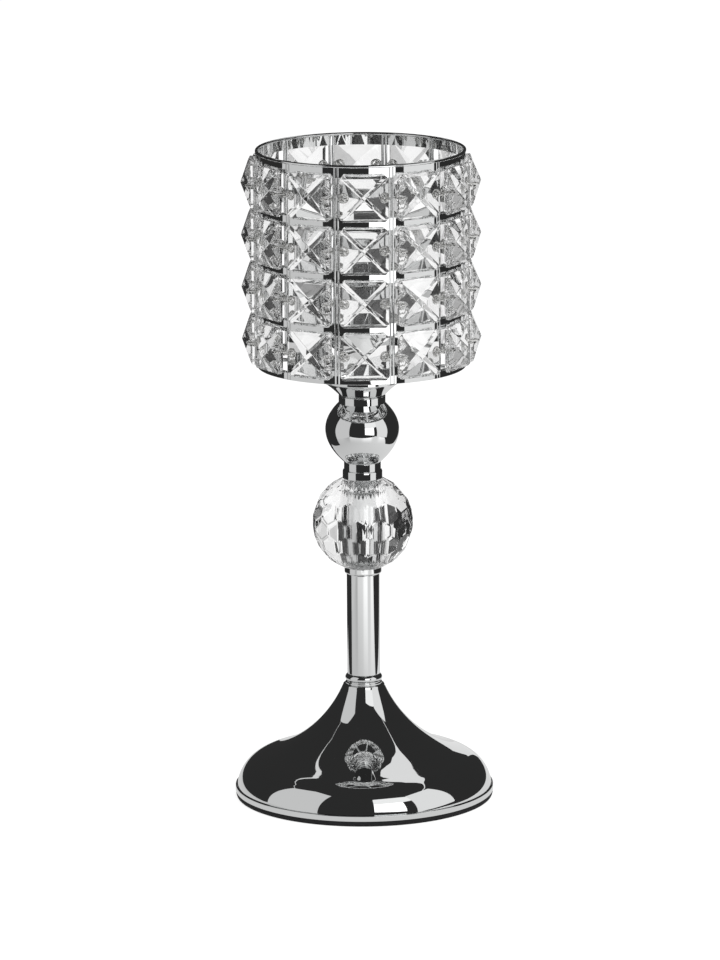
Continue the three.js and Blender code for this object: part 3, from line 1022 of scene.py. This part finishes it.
def makeCards():
    softbox = [(0.073, -0.49, 0.08), (0.285, -0.385, 0.05)]
    panels = {
        "leftPanel": {
            "foot": [(-0.308, 0.0, 0.0), (-0.308, -0.13, 0.0), (-0.308, -0.36, 0.0)],
            "tops": [0.33, 0.5, 0.62], "level": 0.7,
        },
        "rightPanel": {
            "foot": [(0.36, -0.347, 0.0), (0.3, -0.04, 0.03)], "tops": [0.54, 0.37], "level": 0.93,
        },
        "softbox": {"foot": softbox, "tops": [0.3, 0.3], "level": 2, "inGlass": False},
        "softboxInGlass": {"foot": softbox, "tops": [0.3, 0.3], "level": 1.3, "inMetal": False},
        "softboxUpper": {
            "foot": [(0.073, -0.49, 0.3), (0.285, -0.385, 0.3), (0.36, -0.347, 0.33)],
            "tops": [0.52, 0.52, 0.52], "level": 1.1, "inGlass": False,
        },
    }
    # outlines are bearing, lower and upper elevation, in degrees
    skyCards = {
        "backCard": {
            "outline": [(164, -8, 14), (172, -10, 14), (182, -10, 10), (184, -10, 3)],
            "level": 0.85, "inGlass": False,
        },
        "rightStrip": {
            "outline": [
                (70, 48.0, 48.8), (86, 53.2, 54.0), (100, 57.0, 57.8), (112, 58.8, 60.0), (124, 58.6, 62.6),
                (136, 56.2, 66.0), (148, 52.6, 65.0), (157, 49.4, 64.8), (163, 45.0, 63.4), (167, 41.2, 62.0),
                (170, 45.8, 59.0), (173, 51.0, 54.0),
            ],
            "level": 0.9,
        },
        "leftStrip": {
            "outline": [
                (-84, 44.2, 44.7), (-101, 49.5, 50.0), (-108, 52.4, 52.9), (-120, 52.7, 53.2),
                (-135, 52.6, 53.3), (-145, 51.6, 53.0), (-153, 50.4, 52.3), (-160, 48.6, 51.2),
                (-164, 45.5, 48.5), (-167, 41.5, 44.5), (-168.5, 39.5, 41.0),
            ],
            "level": 0.8,
        },
    }
    # glass sees a bright backdrop on the right, in bands of a start bearing and a level; the left stays dark
    backdrop = {
        "bands": [(118, 0.4), (127, 0.8), (136, 0.5), (145, 0.9), (154, 0.6), (166, 0.9), (174, 1.05),
                  (190, 1.0), (204, 0)],
        "foot": -22, "top": 42, "tallFrom": 166, "tallTop": 58,
    }
    flatCards = {
        "ceilingInGlass": {
            "left": -0.6, "right": 0.6, "front": -0.5, "back": 0.7, "height": 0.8, "level": 0.75,
            "inMetal": False,
        },
        # a painted highlight: a glowing strip along the table's front edge, seen in metal and glass
        "tableEdgeHighlight": {
            "left": -0.3, "right": 0.34, "front": -0.39, "back": -0.378, "height": 0.0006, "level": 1.3,
        },
    }
    for name, card in panels.items():
        makePanel(name, **card)
    for name, card in skyCards.items():
        makeSkyCard(name, **card)
    bands = backdrop["bands"]
    for number, ((start, level), following) in enumerate(zip(bands, bands[1:]), 1):
        upper = backdrop["tallTop"] if start >= backdrop["tallFrom"] else backdrop["top"]
        outline = [(bearing, backdrop["foot"], upper) for bearing in (start, following[0])]
        makeSkyCard(f"backInGlass_{number}", outline, level, inMetal=False)
    for name, card in flatCards.items():
        makeFlatCard(name, **card)


def makeTable():
    # the part of the floor that metal and glass see, with its light and shade painted on as glow: close by, a
    # painted light ramp that is darker on the left and brighter on the right; further off, painted bands of
    # light by bearing
    table = {
        "outline": [(-0.308, -0.39), (0.36, -0.39), (0.36, -0.1), (0.187, 0.0), (0.187, 0.22), (0.234, 0.7),
                    (-0.03, 0.7), (-0.03, 0.22), (-0.172, 0.22), (-0.172, 0.0), (-0.308, 0.0)],
        "height": 0.3 * mm, "peak": 1.4, "near": 0.18, "far": 0.36,
        "left": (-0.17, 0.62), "right": (0.19, 0.86),
        "bands": [(-180, 0.7), (-140, 0.7), (-110, 0.6), (-89, 0.62), (-70, 0.7), (-44, 0.5), (-37, 0.85),
                  (-5, 0.92), (6, 1.3), (26, 1.35), (34, 0.85), (48, 0.85), (58, 1.25), (72, 1.2),
                  (100, 0.85), (180, 0.7)],
    }
    finish, tree = newFinish("litTable")
    spot = addNode(tree, "ShaderNodeTexCoord").outputs["Object"]
    place = addNode(tree, "ShaderNodeSeparateXYZ", {0: spot}).outputs
    towards = addNode(tree, "ShaderNodeMath", {0: place["Y"], 1: -1.0}, operation="MULTIPLY").outputs[0]
    bearing = addNode(tree, "ShaderNodeMath", {0: place["X"], 1: towards}, operation="ARCTAN2").outputs[0]
    share = addNode(
        tree, "ShaderNodeMapRange", {"Value": bearing, "From Min": -math.pi, "From Max": math.pi},
    ).outputs["Result"]
    # painted light: the far floor's brightness by bearing from the candlestick
    ramp = addNode(tree, "ShaderNodeValToRGB", {"Fac": share})
    stops = ramp.color_ramp.elements
    while len(stops) < len(table["bands"]):
        stops.new(0.5)
    for stop, (degrees, level) in zip(stops, table["bands"]):
        stop.position = (degrees + 180) / 360
        stop.color = [level / table["peak"]] * 3 + [1.0]
    bands = addNode(
        tree, "ShaderNodeMath", {0: ramp.outputs["Color"], 1: table["peak"]}, operation="MULTIPLY",
    )
    # painted shade and light: the near floor darker on the left, brighter on the right
    paintedNearLight = addNode(tree, "ShaderNodeMapRange", {
        "Value": place["X"], "From Min": table["left"][0], "From Max": table["right"][0],
        "To Min": table["left"][1], "To Max": table["right"][1],
    })
    distance = addNode(tree, "ShaderNodeVectorMath", {0: spot}, operation="LENGTH").outputs["Value"]
    farShare = addNode(
        tree, "ShaderNodeMapRange", {"Value": distance, "From Min": table["near"], "From Max": table["far"]},
    )
    level = addNode(tree, "ShaderNodeMix", {
        "Factor": farShare.outputs["Result"], "A": paintedNearLight.outputs["Result"], "B": bands.outputs[0],
    })
    path = addNode(tree, "ShaderNodeLightPath").outputs
    # painted light: the table glows brighter still to rays seen through glass
    boost = addNode(
        tree, "ShaderNodeMapRange",
        {"Value": path["Is Transmission Ray"], "To Min": 1.0, "To Max": studio["tableInGlass"]},
    )
    seen = addNode(
        tree, "ShaderNodeMath", {0: level.outputs["Result"], 1: boost.outputs["Result"]},
        operation="MULTIPLY",
    )
    glow = addNode(
        tree, "ShaderNodeEmission", {"Color": linear(studio["white"]), "Strength": seen.outputs[0]},
    )
    endFinish(tree, glow.outputs["Emission"])
    bm = bmesh.new()
    start, *others = table["outline"]
    last = bmesh.ops.create_vert(bm, co=(*start, table["height"]))["vert"]
    for corner in others:
        last = bmesh.ops.extrude_vert_indiv(bm, verts=last)["verts"]
        last[0].co = (*corner, table["height"])
    bm.verts.ensure_lookup_table()
    bmesh.ops.contextual_create(bm, geom=[bm.verts[0], last[0]])
    bmesh.ops.contextual_create(bm, geom=bm.edges[:])
    hangCard("litTable", bm, finish)


def makeFloor():
    # white to the camera with a soft shadow; beyond the table, dark to metal and pale to glass
    sweep = {
        "size": 6, "drop": 0.2 * mm, "matt": "#9c9c9c", "black": "#000000",
        "leftSlope": 0.42, "rightSlope": 0.57, "fade": 0.2,
    }
    finish, tree = newFinish("whiteSweep")
    path = addNode(tree, "ShaderNodeLightPath").outputs
    mirrored = addNode(
        tree, "ShaderNodeMath",
        {0: path["Is Glossy Ray"], 1: path["Is Transmission Ray"]}, operation="MAXIMUM",
    )
    spot = addNode(tree, "ShaderNodeTexCoord").outputs["Object"]
    place = addNode(tree, "ShaderNodeSeparateXYZ", {0: spot}).outputs
    # the lit sector behind the candlestick, from its left edge to its right one
    leftSide = addNode(
        tree, "ShaderNodeMath", {0: place["Y"], 1: sweep["leftSlope"], 2: place["X"]},
        operation="MULTIPLY_ADD",
    )
    rightSide = addNode(
        tree, "ShaderNodeMath", {0: place["X"], 1: -sweep["rightSlope"], 2: place["Y"]},
        operation="MULTIPLY_ADD",
    )
    inSector = addNode(
        tree, "ShaderNodeMath", {0: leftSide.outputs[0], 1: rightSide.outputs[0]}, operation="MINIMUM",
    )
    behind = addNode(tree, "ShaderNodeMapRange", {
        "Value": inSector.outputs[0], "From Min": 0.0, "From Max": sweep["fade"],
        "To Max": studio["farFloor"],
    })
    inGlass = addNode(
        tree, "ShaderNodeMath", {0: path["Is Transmission Ray"], 1: behind.outputs["Result"]},
        operation="MULTIPLY",
    )
    mirroredGlow = addNode(
        tree, "ShaderNodeMath", {0: mirrored.outputs[0], 1: studio["room"], 2: inGlass.outputs[0]},
        operation="MULTIPLY_ADD",
    )
    level = addNode(
        tree, "ShaderNodeMath",
        {0: path["Is Camera Ray"], 1: studio["floorShare"], 2: mirroredGlow.outputs[0]},
        operation="MULTIPLY_ADD",
    )
    glow = addNode(
        tree, "ShaderNodeEmission", {"Color": linear(studio["white"]), "Strength": level.outputs[0]},
    )
    matt = addNode(tree, "ShaderNodeBsdfDiffuse", {"Color": linear(sweep["matt"])})
    black = addNode(tree, "ShaderNodeBsdfDiffuse", {"Color": linear(sweep["black"])})
    seen = addNode(
        tree, "ShaderNodeMixShader", {0: mirrored.outputs[0], 1: matt.outputs[0], 2: black.outputs[0]},
    )
    both = addNode(tree, "ShaderNodeAddShader", {0: glow.outputs[0], 1: seen.outputs[0]})
    endFinish(tree, both.outputs[0])
    bm = bmesh.new()
    bmesh.ops.create_grid(
        bm, x_segments=1, y_segments=1, size=sweep["size"],
        matrix=Matrix.Translation((0, 0, -sweep["drop"])),
    )
    newStage("sweep", bm, finish)


def makeWorld():
    world = bpy.data.worlds.new("studio")
    world.use_nodes = True
    tree = world.node_tree
    tree.nodes.clear()
    path = addNode(tree, "ShaderNodeLightPath").outputs
    soft = addNode(
        tree, "ShaderNodeMapRange",
        {"Value": path["Is Diffuse Ray"], "To Min": studio["room"], "To Max": studio["softLevel"]},
    )
    inGlass = addNode(
        tree, "ShaderNodeMath", {0: path["Is Transmission Ray"], 1: studio["glassLevel"]},
        operation="MULTIPLY",
    )
    bright = addNode(
        tree, "ShaderNodeMath", {0: inGlass.outputs[0], 1: soft.outputs["Result"]}, operation="MAXIMUM",
    )
    level = addNode(
        tree, "ShaderNodeMath", {0: path["Is Camera Ray"], 1: bright.outputs[0]}, operation="MAXIMUM",
    )
    sky = addNode(
        tree, "ShaderNodeBackground", {"Color": linear(studio["white"]), "Strength": level.outputs[0]},
    )
    addNode(tree, "ShaderNodeOutputWorld", {"Surface": sky.outputs["Background"]})
    bpy.context.scene.world = world


def makeLamp():
    key = {"place": (0.5, -0.9, 1.1), "target": (0, 0, 0.1), "size": 0.9, "watts": 9}
    light = bpy.data.lights.new("softKey", "AREA")
    light.size = key["size"]
    light.energy = key["watts"]
    lamp = bpy.data.objects.new("softKey", light)
    lamp.location = key["place"]
    lamp.rotation_euler = (Vector(key["target"]) - lamp.location).to_track_quat("-Z", "Y").to_euler()
    lamp.visible_camera = False
    lamp.visible_glossy = False
    lamp.visible_transmission = False
    bpy.context.scene.collection.objects.link(lamp)


makeFloor()
makeTable()
makeCards()
makeWorld()
makeLamp()
print("studio made")


# Camera: long lens, a little above the cup, as the photograph was taken

def makeCamera():
    view = {
        "place": (0, -2.288, 0.624), "down": math.radians(12.32), "aside": math.radians(0.025),
        "roll": math.radians(-0.36), "lens": 228.6, "sensor": 36,
    }
    data = bpy.data.cameras.new("photoCamera")
    data.lens = view["lens"]
    data.sensor_width = view["sensor"]
    camera = bpy.data.objects.new("photoCamera", data)
    camera.location = view["place"]
    turn = Matrix.Rotation(view["aside"], 3, "Z") @ Matrix.Rotation(math.pi / 2 - view["down"], 3, "X")
    camera.rotation_euler = (turn @ Matrix.Rotation(view["roll"], 3, "Z")).to_euler()
    bpy.context.scene.collection.objects.link(camera)
    bpy.context.scene.camera = camera


makeCamera()
settings = bpy.context.scene
settings.view_settings.view_transform = "Standard"
settings.cycles.max_bounces = 32
settings.cycles.transmission_bounces = 32
settings.cycles.glossy_bounces = 16
